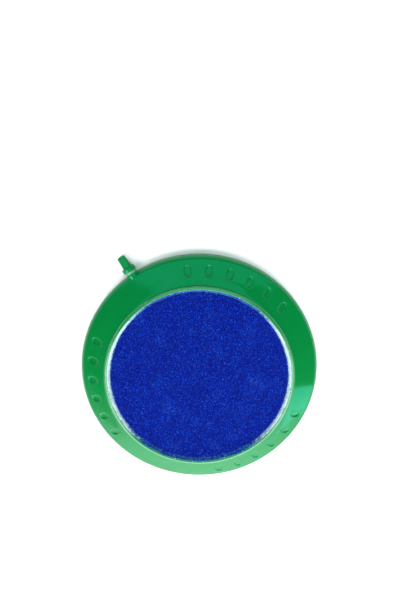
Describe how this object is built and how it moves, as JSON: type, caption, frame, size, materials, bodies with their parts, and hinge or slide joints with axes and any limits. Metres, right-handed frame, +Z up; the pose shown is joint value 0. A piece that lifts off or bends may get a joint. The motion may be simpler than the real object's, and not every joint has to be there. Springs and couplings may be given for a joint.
{
  "type": "air stone",
  "caption": "Round aquarium air stone: a low hat-shaped plastic housing holds a disc of bonded grit, with a nipple for airline tubing at its rim.",
  "frame": {"origin": "on the disc's axis, at the underside of the base plate, which is the plane the part stands on", "axes": "+X along the inlet nipple, pointing away from the disc; +Z up through the stone"},
  "size_m": [0.1101, 0.1016, 0.0136],
  "materials": {
    "green_plastic": "glossy moulded green plastic",
    "blue_stone": "bonded mineral grit dyed blue, matte and porous",
    "clear_adhesive": "cured clear adhesive, slightly cloudy"
  },
  "bodies": {
    "root": {"upper_shell": "green_plastic", "base_plate": "green_plastic", "inlet_nipple": "green_plastic", "stone_disc": "blue_stone", "stone_bond_bead": "clear_adhesive", "base_bond_ring": "clear_adhesive", "nipple_bond_ring": "clear_adhesive"}
  },
  "joints": []
}
